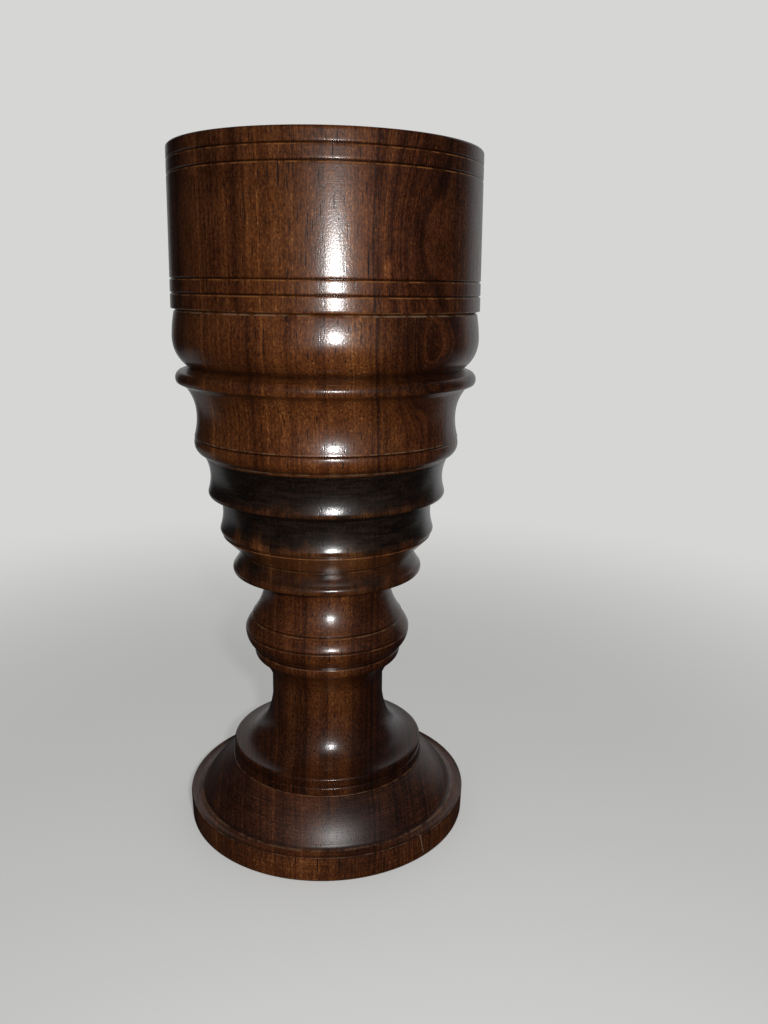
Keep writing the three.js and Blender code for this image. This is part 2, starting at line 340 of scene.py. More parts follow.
def turnBowl(v=bowl, ends=bowlEnds):
    low, top, full = seat["collarTop"], seat["bowlTop"], seat["cupRadius"]
    spigotEnd = low - joint["bowlSpigotLength"]
    lapTop = top + joint["lapRise"]
    outline = [(0, spigotEnd, 0)]
    lineTo(outline, joint["bowlSpigotRadius"], spigotEnd, joint["spigotEase"])
    lineTo(outline, joint["bowlSpigotRadius"], low)
    lineTo(outline, collarTopRadius, low)
    lineTo(outline, lipRadius, ends["lip"], v["lipEase"])
    scribe(outline, full - v["smallBeadInset"], ends["smallBead"], v["smallBeadBow"])
    bowTo(outline, full - v["coveInset"], ends["coveLow"], v["coveLowBow"])
    bowTo(outline, full - v["coveTopInset"], ends["coveTop"], v["coveTopBow"])
    lineTo(outline, full - v["flangeLowInset"], ends["flangeUnder"], v["flangeEase"])
    bowTo(outline, full - v["flangeTopInset"], ends["flangeEdge"], v["flangeEdgeBow"], v["flangeEase"])
    lineTo(outline, full - v["beadNeckInset"], ends["flangeTop"])
    bowTo(outline, full, ends["bead"], v["beadBow"])
    bowTo(outline, full - v["beadTopInset"], ends["beadTop"], v["beadTopBow"], joint["seatEase"])
    lineTo(outline, notchRadius, top)
    lineTo(outline, lapRadius, top)
    lineTo(outline, lapRadius, lapTop)
    lineTo(outline, hollowRadius, lapTop)
    hollowTo(outline, v["hollowFullness"], v["floorReach"], low + v["floorThickness"])
    return turnPiece("turnedBowl", "bowl", outline)


# Mouth band: a rebated ring with two pairs of scribed lines
band = {
    "rimTaper": 0.6, "rimEdge": 0.6, "rimEase": 0.3, "mouthWall": 5.7, "footEase": 0.2,
    "lowGroove": 5.1, "highGroove": 4.7, "pairGap": 4.8,
}


def bandGrooves(v=band):
    low = seat["bowlTop"] + joint["notchRise"] + v["lowGroove"]
    high = seat["rimTop"] - v["highGroove"]
    return [low, low + v["pairGap"], high - v["pairGap"], high]


def turnBand(v=band):
    low, top, full = seat["bowlTop"], seat["rimTop"], seat["cupRadius"]
    bandFoot = low + joint["notchRise"]
    rebate = lapRadius + joint["clearance"]
    rebateTop = low + joint["lapRise"] + joint["endClearance"]
    rim = full - v["rimTaper"]
    mouth = rim - v["mouthWall"]
    outline = [(rebate, low, 0)]
    lineTo(outline, notchRadius, low)
    lineTo(outline, full, bandFoot, v["footEase"])
    for groove in bandGrooves():
        share = (groove - bandFoot) / (top - bandFoot)
        scribe(outline, full - share * v["rimTaper"], groove)
    lineTo(outline, rim, top - v["rimEdge"], v["rimEase"])
    lineTo(outline, rim - v["rimEdge"], top, v["rimEase"])
    lineTo(outline, mouth + v["rimEdge"], top, v["rimEase"])
    lineTo(outline, mouth, top - v["rimEdge"], v["rimEase"])
    lineTo(outline, hollowRadius, rebateTop)
    lineTo(outline, rebate, rebateTop)
    lineTo(outline, rebate, low)
    return turnPiece("mouthBand", "mouth_band", outline)


def turnPad(v=foot):
    outline = [(0, 0, 0)]
    lineTo(outline, v["padRadius"], 0, v["padEase"])
    lineTo(outline, v["padRadius"], v["padThickness"], v["padEase"])
    lineTo(outline, 0, v["padThickness"])
    return turnPiece("baizeDisc", "base_pad", outline)


def colour(code):
    # An sRGB hex value as the linear colour that the shader wants
    channels = [int(code[i:i + 2], 16) / 255 for i in (1, 3, 5)]
    return tuple(c / 12.92 if c <= 0.04045 else ((c + 0.055) / 1.055) ** 2.4 for c in channels) + (1,)


def addNode(tree, kind, settings=None, inputs=None):
    # Inputs come as a list in the order of the sockets, or by the sockets' names or places
    node = tree.nodes.new("ShaderNode" + kind)
    for name, value in (settings or {}).items():
        setattr(node, name, value)
    for name, value in enumerate(inputs) if isinstance(inputs, list) else (inputs or {}).items():
        if isinstance(value, bpy.types.NodeSocket):
            tree.links.new(value, node.inputs[name])
        else:
            node.inputs[name].default_value = value
    return node


# Settings that many nodes share
add, subtract = {"operation": "ADD"}, {"operation": "SUBTRACT"}
multiply, divide = {"operation": "MULTIPLY"}, {"operation": "DIVIDE"}
multiplyAdd, highest = {"operation": "MULTIPLY_ADD"}, {"operation": "MAXIMUM"}
absolute, howFar = {"operation": "ABSOLUTE"}, {"operation": "LENGTH"}
dotProduct, softly = {"operation": "DOT_PRODUCT"}, {"interpolation_type": "SMOOTHSTEP"}
layered, tinted = {"data_type": "RGBA"}, {"data_type": "RGBA", "blend_type": "MULTIPLY"}
levelOnly = (1, 1, 0)


def newMaterial(name):
    material = bpy.data.materials.new(name)
    material.use_nodes = True
    material.node_tree.nodes.clear()
    return material, material.node_tree


def setRamp(node, stops):
    ramp = node.color_ramp
    while len(ramp.elements) > 1:
        ramp.elements.remove(ramp.elements[-1])
    ramp.elements[0].position, ramp.elements[0].color = stops[0]
    for place, shade in stops[1:]:
        ramp.elements.new(place).color = shade


def grey(value):
    return (value, value, value, 1)


# Rosewood, turned between centres, friction polished with shellac and wax: a dark red-brown
# heartwood with near-black and orange streaks along the grain, open pores that stay dark,
# and a gloss that breaks up on fine lathe lines. Sizes and depths are in mm. Values in fours are a
# soft step: from, to, and what comes out at each end.
rosewood = {
    "heartwood": [(0.0, "#190a05"), (0.28, "#371809"), (0.5, "#532b13"), (0.72, "#6f3d1c"), (1.0, "#a36a3c")],
    # The pore colour also paints the dark lines of dirt, and of painted shade in creases and hollows
    "poreDirtAndShadeColour": "#160803", "veinColour": "#1d0b05", "golden": (1.0, 1.06, 0.95, 1), "goldenFrom": (0.4, 0.6),
    "rings": [(4.4, 0.3, 1), (1.1, 0.45, 2)],                # width, share of the tone, detail
    "wander": 2.6, "wanderSize": (40, 40, 150), "spotShape": (1, 1, 0.45),
    "mottle": (6, 6, 13), "mottleShare": 0.42, "veinGaps": (0.36, 0.56, 0.15, 1.0),
    "fibre": (0.42, 0.42, 1.6), "fibreShare": 0.9, "fibreDepth": 0.009,
    "pores": [((0.9, 0.9, 10), 0.18, 0.92), ((2.1, 2.1, 32), 0.27, 1.0)],     # cell, half width, darkness
    "poreRim": 1.5, "poreHeart": 0.6,      # shares of the half width where a pore starts and is full
    "poreFilled": (0.2, 0.5), "poreDepth": 0.01, "poreRoughness": 0.25,
    "pitSize": (0.6, 0.6, 0.8), "pitDepth": 0.011, "pitShare": 0.65,
    "toolLine": 0.62, "toolArc": 22,      # real tool lines are about half as far apart
    "scuffSize": (4, 4, 4), "scuffGaps": (0.42, 0.58, 0.12, 1.0),
    "gloss": (0.3, 0.7, 0.35, 0.45), "ior": 1.5, "specular": 0.2,      # roughness follows the mottle
}
lineHeart = 0.3      # share of a soft line's half width that has its full strength
hairCrack = {
    "kinkSize": (1.6, 1.6, 1.6), "kink": 0.012,              # mm, and radians to either side
    "rim": 1.5, "heart": 0.5,                                # shares of the half width where it starts and is full
    "endFade": 0.8, "depthFade": 0.6,
}


def stretchedNoise(tree, plank, size, detail=2, roughness=0.55):
    # Noise with cells of the given size in mm, across, through and along the plank
    place = addNode(tree, "VectorMath", divide, [plank, size]).outputs[0]
    return addNode(tree, "TexNoise", None,
                   {"Vector": place, "Scale": 1, "Detail": detail, "Roughness": roughness}).outputs[0]


def lineMask(tree, across, lines, breakUp):
    # Soft lines where the value across them passes the given places, each (place, half width, strength)
    mask = 0.0
    for place, half, strength in lines:
        away = addNode(tree, "Math", subtract, [across, place]).outputs[0]
        away = addNode(tree, "Math", absolute, [away]).outputs[0]
        line = addNode(tree, "MapRange", softly, [away, half, half * lineHeart, 0.0, strength]).outputs[0]
        mask = addNode(tree, "Math", highest, [mask, line]).outputs[0]
    return addNode(tree, "Math", multiply, [mask, breakUp]).outputs[0]


def roundSpot(tree, spot, radius, azimuth, height, reach, amount):
    # A soft tall patch on the surface, fullest at its middle; azimuth in degrees round from the front
    turned = math.radians(azimuth)
    middle = (radius * math.sin(turned), -radius * math.cos(turned), height)
    away = addNode(tree, "VectorMath", subtract, [spot, middle]).outputs[0]
    away = addNode(tree, "VectorMath", multiply, [away, rosewood["spotShape"]]).outputs[0]
    away = addNode(tree, "VectorMath", howFar, [away]).outputs["Value"]
    return addNode(tree, "MapRange", softly, [away, reach, 0.0, 0.0, amount]).outputs[0]


def growthRings(tree, spot, plank, cut, v):
    # How far each point lies from the ring at the middle, made to wander up and across the plank
    slow = addNode(tree, "VectorMath", divide, [plank, v["wanderSize"]]).outputs[0]
    wander = addNode(tree, "TexNoise", None, {"Vector": slow, "Scale": 1, "Detail": 2, "Roughness": 0.45})
    shift = addNode(tree, "VectorMath", subtract, [wander.outputs["Color"], (0.5, 0.5, 0.5)]).outputs[0]
    shift = addNode(tree, "VectorMath", multiplyAdd, [shift, (v["wander"] * 2,) * 3, plank]).outputs[0]
    flat = addNode(tree, "VectorMath", multiplyAdd, [shift, levelOnly, (cut["pithDistance"], 0, 0)]).outputs[0]
    ring = addNode(tree, "VectorMath", howFar, [flat]).outputs["Value"]
    ring = addNode(tree, "Math", subtract, [ring, cut["pithDistance"]]).outputs[0]
    # Swirls, where a branch once pushed the rings aside
    eyes = 0.0
    for azimuth, height, reach, push, loss in cut["swirls"]:
        bulge = roundSpot(tree, spot, seat["cupRadius"], azimuth, height, reach, 1.0)
        ring = addNode(tree, "Math", multiplyAdd, [bulge, push, ring]).outputs[0]
        eyes = addNode(tree, "Math", multiplyAdd, [bulge, loss, eyes]).outputs[0]
    return ring, wander.outputs["Color"], eyes


def toolLines(tree, spot, v):
    # Fine turned lines that follow the outline, so they use the chisel's travel
    travel = addNode(tree, "Attribute", {"attribute_name": "cutLength"}).outputs["Fac"]
    lift = addNode(tree, "Math", divide, [travel, v["toolLine"]]).outputs[0]
    lift = addNode(tree, "CombineXYZ", None, {2: lift}).outputs[0]
    arc = 1 / v["toolArc"]
    around = addNode(tree, "VectorMath", multiplyAdd, [spot, (arc, arc, 0), lift]).outputs[0]
    return addNode(tree, "TexNoise", None, {"Vector": around, "Scale": 1, "Detail": 2, "Roughness": 0.7}).outputs[0]


def woodTone(tree, ring, height, layers, cut, v):
    # Tone from dark 0 to pale 1: the named streaks of this piece, darker toward its left and right sides as painted
    # shade, then the layers, the rings and the climb
    half = cut["bandReach"]
    along = addNode(tree, "MapRange", None, [ring, -half, half, 0.0, 1.0]).outputs[0]
    streaksAndSideShade = addNode(tree, "ValToRGB", None, [along])
    setRamp(streaksAndSideShade, [((place + half) / (2 * half), grey(tone)) for place, tone in cut["streaksAndSideShade"]])
    tone = streaksAndSideShade.outputs[0]
    for width, share, detail in v["rings"]:
        rings = addNode(tree, "TexNoise", {"noise_dimensions": "1D"},
                        {"W": ring, "Scale": 1 / width, "Detail": detail, "Roughness": 0.55}).outputs[0]
        layers.append((rings, share))
    for source, share in layers:
        swing = addNode(tree, "Math", subtract, [source, 0.5]).outputs[0]
        tone = addNode(tree, "Math", multiplyAdd, [swing, share, tone]).outputs[0]
    climb = addNode(tree, "MapRange", softly, [height, *cut["climb"]]).outputs[0]
    return addNode(tree, "Math", add, [tone, climb]).outputs[0]


def openPores(tree, plank, v):
    # Short cells and a few long ones along the grain, some filled with polish and some open
    pores = 0.0
    for cell, halfWidth, darkness in v["pores"]:
        cells = addNode(tree, "VectorMath", divide, [plank, cell]).outputs[0]
        dots = addNode(tree, "TexVoronoi", None, {"Vector": cells, "Scale": 1, "Randomness": 1}).outputs
        edge = halfWidth / cell[0]
        dash = addNode(tree, "MapRange", softly, [
            dots["Distance"], edge * v["poreRim"], edge * v["poreHeart"], 0.0, darkness]).outputs[0]
        unfilled = addNode(tree, "MapRange", softly, [dots["Color"], *v["poreFilled"]]).outputs[0]
        dash = addNode(tree, "Math", multiply, [dash, unfilled]).outputs[0]
        pores = addNode(tree, "Math", highest, [pores, dash]).outputs[0]
    return pores


def crackMask(tree, spot, crack, v=hairCrack):
    # A hair crack up the grain: degrees round, heights, mm across, how far it leans and how far in it runs
    place = addNode(tree, "SeparateXYZ", None, [spot]).outputs
    front = addNode(tree, "Math", multiply, [place[1], -1.0]).outputs[0]
    turned = addNode(tree, "Math", {"operation": "ARCTAN2"}, [place[0], front]).outputs[0]
    above = addNode(tree, "Math", subtract, [place[2], (crack["low"] + crack["high"]) / 2]).outputs[0]
    lean = addNode(tree, "Math", multiplyAdd, [
        above, math.radians(crack["lean"]), math.radians(crack["azimuth"])]).outputs[0]
    kink = stretchedNoise(tree, spot, v["kinkSize"])
    kink = addNode(tree, "Math", multiplyAdd, [kink, 2 * v["kink"], -v["kink"]]).outputs[0]
    line = addNode(tree, "Math", add, [lean, kink]).outputs[0]
    off = addNode(tree, "Math", subtract, [turned, line]).outputs[0]
    off = addNode(tree, "Math", absolute, [off]).outputs[0]
    level = addNode(tree, "VectorMath", multiply, [spot, levelOnly]).outputs[0]
    out = addNode(tree, "VectorMath", howFar, [level]).outputs["Value"]
    half = crack["width"] / 2 / crack["radius"]
    mask = 1.0
    for source, start, end in (
            (off, half * v["rim"], half * v["heart"]),
            (place[2], crack["low"], crack["low"] + v["endFade"]),
            (place[2], crack["high"], crack["high"] - v["endFade"]),
            (out, crack["inner"], crack["inner"] + v["depthFade"])):
        share = addNode(tree, "MapRange", softly, [source, start, end]).outputs[0]
        mask = addNode(tree, "Math", multiply, [mask, share]).outputs[0]
    return mask


def wearDirtAndPaintedLight(tree, shade, spot, height, normal, cut, v):
    # Pale worn lips, one also a painted highlight, dark lines of dirt and of painted shade in creases and hollows,
    # and a crack, round the outside where this piece has them
    facing = addNode(tree, "VectorMath", multiply, [normal, levelOnly]).outputs[0]
    facing = addNode(tree, "VectorMath", dotProduct, [facing, spot]).outputs["Value"]
    outside = addNode(tree, "MapRange", softly, [facing, -1.0, 1.0]).outputs[0]
    scuffs = stretchedNoise(tree, spot, v["scuffSize"], 3)
    scuffs = addNode(tree, "MapRange", softly, [scuffs, *v["scuffGaps"]]).outputs[0]
    scuffs = addNode(tree, "Math", multiply, [scuffs, outside]).outputs[0]
    # Pale lips are wear, and on the foot's rim also a painted highlight; dark lines are dirt, and in some creases
    # and hollows painted shade
    marks = [(lineMask(tree, height, cut["wornAndGlint"], scuffs), cut["wornAndGlintColour"]),
             (lineMask(tree, height, cut["dirtAndShade"], outside), v["poreDirtAndShadeColour"])]
    if cut["crack"]:
        marks.append((crackMask(tree, spot, cut["crack"]), cut["crack"]["colour"]))
    for mask, code in marks:
        shade = addNode(tree, "Mix", layered, {0: mask, 6: shade, 7: colour(code)}).outputs[2]
    return shade


def rosewoodMaterial(name, cut, stain=None, v=rosewood):
    material, tree = newMaterial(name)
    coordinates = addNode(tree, "TexCoord").outputs
    spot = addNode(tree, "VectorMath", {"operation": "SCALE"}, {0: coordinates["Object"], "Scale": 1000}).outputs[0]
    height = addNode(tree, "SeparateXYZ", None, [spot]).outputs[2]
    plank = addNode(tree, "Mapping", None, {
        "Vector": spot, "Location": cut["offset"],
        "Rotation": (0, math.radians(cut["lean"]), math.radians(cut["pithAngle"]))}).outputs[0]
    ring, slow, eyes = growthRings(tree, spot, plank, cut, v)
    mottle = stretchedNoise(tree, plank, v["mottle"], 3)
    fibres = stretchedNoise(tree, plank, v["fibre"], 3, 0.65)
    pits = stretchedNoise(tree, spot, v["pitSize"])
    tool = toolLines(tree, spot, v)

    layers = [(mottle, v["mottleShare"]), (fibres, v["fibreShare"]),
              (pits, v["pitShare"]), (tool, cut["toolShare"])]
    tone = woodTone(tree, ring, height, layers, cut, v)
    tone = addNode(tree, "Math", subtract, [tone, eyes]).outputs[0]
    wood = addNode(tree, "ValToRGB", None, [tone])
    setRamp(wood, [(place, colour(code)) for place, code in v["heartwood"]])
    golden = addNode(tree, "MapRange", softly, [slow, *v["goldenFrom"]]).outputs[0]
    shade = addNode(tree, "Mix", tinted, {0: golden, 6: wood.outputs[0], 7: v["golden"]}).outputs[2]
    shade = addNode(tree, "Mix", tinted, {0: 1.0, 6: shade, 7: cut["tint"]}).outputs[2]

    # Dark veins that follow the rings, broken where the grain closes up, then the pores
    if cut["veins"]:
        gaps = addNode(tree, "MapRange", softly, [mottle, *v["veinGaps"]]).outputs[0]
        veins = lineMask(tree, ring, cut["veins"], gaps)
        shade = addNode(tree, "Mix", layered, {0: veins, 6: shade, 7: colour(v["veinColour"])}).outputs[2]
    pores = openPores(tree, plank, v)
    shade = addNode(tree, "Mix", layered, {0: pores, 6: shade, 7: colour(v["poreDirtAndShadeColour"])}).outputs[2]
    if stain:
        shade = ebonise(tree, shade, height, spot, fibres, stain)
    shade = wearDirtAndPaintedLight(tree, shade, spot, height, coordinates["Normal"], cut, v)

    # Relief of tool lines, fibres, pits and open pores; depths are to either side of the mean
    relief = addNode(tree, "Math", multiply, [tool, cut["toolDepth"] * 2]).outputs[0]
    for source, depth in ((fibres, v["fibreDepth"] * 2), (pits, v["pitDepth"] * 2), (pores, -v["poreDepth"])):
        relief = addNode(tree, "Math", multiplyAdd, [source, depth, relief]).outputs[0]
    bump = addNode(tree, "Bump", None, {"Strength": 1, "Distance": mm(1), "Height": relief}).outputs[0]
    gloss = addNode(tree, "MapRange", softly, [mottle, *v["gloss"]]).outputs[0]
    gloss = addNode(tree, "Math", multiplyAdd, [pores, v["poreRoughness"], gloss]).outputs[0]
    surface = addNode(tree, "BsdfPrincipled", None, {
        "Base Color": shade, "Roughness": gloss, "IOR": v["ior"], "Specular IOR Level": v["specular"],
        "Coat Weight": cut["coat"], "Coat Roughness": cut["coatRoughness"], "Normal": bump, "Coat Normal": bump})
    addNode(tree, "OutputMaterial", None, [surface.outputs[0]])
    print("finished", name, len(tree.nodes), "nodes")
    return material


# Black spirit stain under the polish: soot black where it is whole, the wood's brown where it wore through
ebony = {
    "black": "#060504", "streak": "#231a15", "patch": (9, 9, 6), "lathe": (9, 9, 0.8),
    "hold": (0.1, 0.95, 0.0, 0.97), "streaksFrom": (0.85, 1.25),
}


def ebonise(tree, shade, height, spot, fibres, stain, v=ebony):
    low, high = stain["from"], stain["to"]
    up = addNode(tree, "MapRange", None, [height, low, high, 0.0, 1.0]).outputs[0]
    cover = addNode(tree, "ValToRGB", None, [up])
    setRamp(cover, [((level - low) / (high - low), grey(share)) for level, share in stain["cover"]])
    hold = cover.outputs[0]
    for source, share in ((stretchedNoise(tree, spot, v["patch"], 3), stain["ragged"]), (fibres, stain["grain"])):
        swing = addNode(tree, "Math", subtract, [source, 0.5]).outputs[0]
        hold = addNode(tree, "Math", multiplyAdd, [swing, share, hold]).outputs[0]
    for azimuth, level, reach, loss in stain["thin"]:
        thin = roundSpot(tree, spot, stain["radius"], azimuth, level, reach, -loss)
        hold = addNode(tree, "Math", add, [hold, thin]).outputs[0]
    hold = addNode(tree, "MapRange", softly, [hold, *v["hold"]]).outputs[0]
    streaks = addNode(tree, "Math", add, [stretchedNoise(tree, spot, v["lathe"]), fibres]).outputs[0]
    streaks = addNode(tree, "MapRange", softly, [streaks, *v["streaksFrom"]]).outputs[0]
    black = addNode(tree, "Mix", layered, {0: streaks, 6: colour(v["black"]), 7: colour(v["streak"])}).outputs[2]
    return addNode(tree, "Mix", layered, {0: hold, 6: shade, 7: black}).outputs[2]


# Baize: short napped wool, dull and a little fluffy
baize = {"dark": "#16301f", "light": "#2f5a3c", "fibre": 0.5, "nap": 0.12}


def baizeMaterial(v=baize):
    material, tree = newMaterial("woolBaize")
    place = addNode(tree, "TexCoord").outputs["Object"]
    fluff = addNode(tree, "TexNoise", None,
                    {"Vector": place, "Scale": 1000 / v["fibre"], "Detail": 4, "Roughness": 0.7}).outputs[0]
    mix = addNode(tree, "ValToRGB", None, [fluff])
    setRamp(mix, [(0.3, colour(v["dark"])), (0.7, colour(v["light"]))])
    bump = addNode(tree, "Bump", None, {"Strength": 0.7, "Distance": mm(v["nap"]), "Height": fluff}).outputs[0]
    surface = addNode(tree, "BsdfPrincipled", None, {
        "Base Color": mix.outputs[0], "Roughness": 0.95, "Normal": bump,
        "Sheen Weight": 0.5, "Sheen Roughness": 0.5})
    addNode(tree, "OutputMaterial", None, [surface.outputs[0]])
    return material


def dress(piece, material):
    piece.data.materials.clear()
    piece.data.materials.append(material)


# How each piece lies in its plank: the side that faces the pith in degrees round from the right, the
# distance to it in mm, the lean of the grain and the plank's shift. Then what shows on it:
#   streaksAndSideShade  streaks, darker toward the left and right as painted shade of the lamp's falloff, as (mm to
#   the right, tone from dark 0 to pale 1)
#   climb     how the tone changes upwards, as (from height, to height, change there, change there)
#   veins     dark lines along the grain, as (mm to the right, half width, strength)
#   swirls    eyes, as (degrees round, height, reach, mm the rings are pushed, tone lost)
#   wornAndGlint  pale lips, one also a painted highlight, and dirtAndShade  dark lines of dirt and of painted
#   shade, as (height, half width, strength)
#   tool      depth in mm of the tool lines, and their share in the tone
wornLip = 0.55       # mm from a scribed line down to the lip that hands have rubbed
bandCut = {
    "pithAngle": 0, "pithDistance": 600, "lean": 0.3, "offset": (-3.5, 0, 0), "bandReach": 60,
    # Streak tones: real streaks, set darker toward the left and right sides as painted shade
    "streaksAndSideShade": [(-60, 0.34), (-52, 0.36), (-48, 0.38), (-44, 0.52), (-40, 0.47), (-35, 0.42), (-31, 0.5),
              (-28, 0.34), (-23, 0.6), (-19, 0.54), (-12, 0.57), (-4, 0.58), (4, 0.6), (9, 0.62), (12, 0.66),
              (17, 0.38), (21, 0.54), (24, 0.34), (27, 0.44), (31, 0.34), (36, 0.32), (46, 0.32), (53, 0.4),
              (60, 0.34)],
    "veins": [(-27.4, 0.5, 0.5), (15.8, 0.4, 0.4), (29, 0.4, 0.4)],
    "swirls": [(30, 219, 20, 9, 0.06), (20, 210, 2.4, 0, -0.4)], "climb": (226, 238, 0.0, -0.07),
    "tint": (1, 1, 1, 1), "coat": 0.72, "coatRoughness": 0.185, "toolDepth": 0.005, "toolShare": 0.15,
    "wornAndGlint": [(z - wornLip, 0.28, 0.6) for z in bandGrooves()] + [(seat["bowlTop"] + joint["notchRise"], 0.3, 0.5)],
    "wornAndGlintColour": "#96602f", "dirtAndShade": [(z, 0.32, 0.8) for z in bandGrooves()], "crack": None,
}
bowlCut = dict(
    bandCut, offset=(-7, -30, 60), climb=(168, 176, 0.05, 0.0),
    # Streak tones, darker toward the left and right sides as painted shade
    streaksAndSideShade=[(-60, 0.36), (-50, 0.44), (-42, 0.5), (-35, 0.52), (-28, 0.47), (-25, 0.36), (-21, 0.52), (-17, 0.58),
           (-12, 0.5), (-8, 0.56), (-5, 0.62), (0, 0.54), (6, 0.52), (8.5, 0.54), (11, 0.54), (13.5, 0.44),
           (16, 0.34), (21, 0.44), (27, 0.38), (33, 0.24), (36, 0.42), (39, 0.22), (42, 0.42), (46, 0.24),
           (50, 0.42), (60, 0.36)],
    veins=[(-25.5, 0.5, 0.5), (15.5, 0.4, 0.5), (34, 0.4, 0.5)],
    swirls=[(35.5, 188, 17, 13, 0.15), (10, 187, 13, 0, -0.16)],
    wornAndGlint=[(bowlEnds["lip"] - 0.1, 0.5, 0.6), (bowlEnds["smallBead"] + 0.6, 0.28, 0.4),
          (seat["bowlTop"] - 0.4, 0.35, 0.7)],
    wornAndGlintColour="#94775c",
    # Dirt in the scribed line, a broad darker band over the flange, and painted shade in the neck under the big
    # bead
    dirtAndShade=[(bowlEnds["smallBead"], 0.32, 0.8), (bowlEnds["flangeEdge"] - 1.1, 2.6, 0.25),
          (bowlEnds["flangeTop"] + 0.6, 1.6, 0.5)])
stemCut = dict(
    bandCut, offset=(-1, 14, -40), climb=(28, 72, -0.14, 0.06), swirls=[],
    # Streak tones, darker toward the left and right sides as painted shade
    streaksAndSideShade=[(-60, 0.38), (-34, 0.4), (-22, 0.36), (-14, 0.45), (-9, 0.33), (-6, 0.56), (-1, 0.54), (3, 0.52),
           (6, 0.6), (9, 0.37), (14, 0.24), (22, 0.23), (34, 0.29), (60, 0.38)],
    veins=[(-8.5, 0.5, 0.5), (12, 0.5, 0.4)],
    wornAndGlint=[(stemEnds[line] - wornLip, 0.26, 0.5) for line in knopLines], wornAndGlintColour="#8c6340",
    # Dirt in the scribed lines, and painted shade in the quirk under the nosing
    dirtAndShade=[(stemEnds[line], 0.32, 0.8) for line in knopLines] + [(stemEnds["quirk"], 0.25, 0.4)],
    toolDepth=0.011, toolShare=0.3)
footCut = dict(
    # The rim face is paler worn wood; above the rim the whole foot is darker, which in the hollow is painted shade
    bandCut, offset=(-0.5, 50, 10), climb=(8.7, 9.9, 0.14, -0.09), tint=(0.92, 0.87, 0.86, 1), swirls=[],
    coat=0.9, coatRoughness=0.4, toolDepth=0.016, toolShare=0.5, veins=None,
    # Streak tones, darker toward the left and right sides as painted shade
    streaksAndSideShade=[(-60, 0.44), (-46, 0.4), (-38, 0.34), (-30, 0.4), (-22, 0.54), (-16, 0.42), (-11, 0.6), (-3, 0.56),
           (3, 0.4), (7, 0.32), (16, 0.34), (30, 0.32), (42, 0.4), (60, 0.44)],
    # The lip on the rim's arris is worn wood and also a painted highlight
    wornAndGlint=[(foot["rimRise"] - 0.3, 0.3, 0.45), (seat["footTop"] - 0.1, 0.2, 0.4)], wornAndGlintColour="#8a6648",
    # Painted shade in the hollow between the rim and the ovolo
    dirtAndShade=[(foot["rimRise"] + 0.2, 0.7, 0.5)],
    crack={"azimuth": 39, "lean": -0.25, "low": 1.5, "high": 10.6, "width": 0.35, "radius": 55, "inner": 52.6,
           "colour": "#8f7a62"})
collarCut = dict(
    bandCut, offset=(-1, 22, 33), climb=(107.9, 108.7, 0.0, 0.12), coat=1.0, veins=None, swirls=[],
    wornAndGlint=[(collarEnds["chamfer"] - 0.5, 0.25, 0.8), (collarEnds["skirtSlope"] + 0.1, 0.25, 0.7)],
    wornAndGlintColour="#8a5c38",
    dirtAndShade=[(collarEnds["chamfer"], 0.32, 0.8), (collarEnds["skirtSlope"] + 1, 0.35, 0.6)],
    crack={"azimuth": -29.3, "lean": 0, "low": 116, "high": 120.7, "width": 0.4, "radius": 40, "inner": 0,
           "colour": "#050302"})
# How fully the stain covers the collar, as (height, cover), and where it wore thin on the front, as
# (degrees round, height, reach, cover lost)
collarStain = {
    "from": 98, "to": 145, "ragged": 1.1, "grain": 1.0, "radius": 41,
    "cover": [(98, 0.3), (101, 0.35), (104, 0.6), (107.5, 0.6), (108.5, 0.0), (114.8, 0.0), (116, 0.45),
              (119, 0.85), (122, 1.05), (129, 1.1), (130.5, 0.6), (132, 0.7), (135, 1.0), (145, 1.15)],
    "thin": [(-38, 119, 9, 0.35), (-54, 120, 6, 0.35), (-44, 132, 4, 0.3), (38, 132, 6, 0.2)],
}

print("turning the pieces")
pieces = {
    "pad": turnPad(), "foot": turnFoot(), "stem": turnStem(),
    "collar": turnCollar(), "bowl": turnBowl(), "band": turnBand(),
}

print("finishing the pieces")
dress(pieces["pad"], baizeMaterial())
dress(pieces["foot"], rosewoodMaterial("polishedRosewoodFoot", footCut))
dress(pieces["stem"], rosewoodMaterial("polishedRosewoodStem", stemCut))
dress(pieces["collar"], rosewoodMaterial("ebonisedRosewood", collarCut, collarStain))
dress(pieces["bowl"], rosewoodMaterial("polishedRosewoodBowl", bowlCut))
dress(pieces["band"], rosewoodMaterial("polishedRosewoodBand", bandCut))


# Studio: a pale floor, a lamp beside the lens and a pale wall of light behind, a little to the right
studio = {
    "floorSize": 12, "floorSeen": "#eeeeec", "floorMet": "#2b2d2e", "floorGlow": 0.35, "fadeOut": (0.12, 0.5),
    "roomSeen": "#d6d6d4", "roomFill": 0.26, "roomGlossy": 0.008,
    "wallAim": 14.5, "wallHalf": 40.5, "wallSoft": 8, "wallLevel": 0.38,      # degrees round from behind
    "wallTop": (0.72, 0.52),                                                  # sines of the rise
    "wallFoot": (0.1, 0.2), "wallNear": (1.0, 0.45),      # metres behind the middle, and from it
    "nearLevel": 0.17,
    "lampPlace": (0.030, -0.332, 0.216), "lampAim": (0, 0, 0.14), "lampSize": 0.018, "lampPower": 0.62,
}


def wallWindow(tree, way, v=studio):
    # How fully the wall of light lies in a direction from the middle
    level = addNode(tree, "VectorMath", multiply, [way, levelOnly]).outputs[0]
    level = addNode(tree, "VectorMath", {"operation": "NORMALIZE"}, [level]).outputs[0]
    aim = math.radians(v["wallAim"])
    facing = addNode(tree, "VectorMath", dotProduct, [level, (math.sin(aim), math.cos(aim), 0)]).outputs["Value"]
    edges = [math.cos(math.radians(v["wallHalf"] + side * v["wallSoft"])) for side in (1, -1)]
    return addNode(tree, "MapRange", softly, [facing, *edges, 0.0, v["wallLevel"]]).outputs[0]


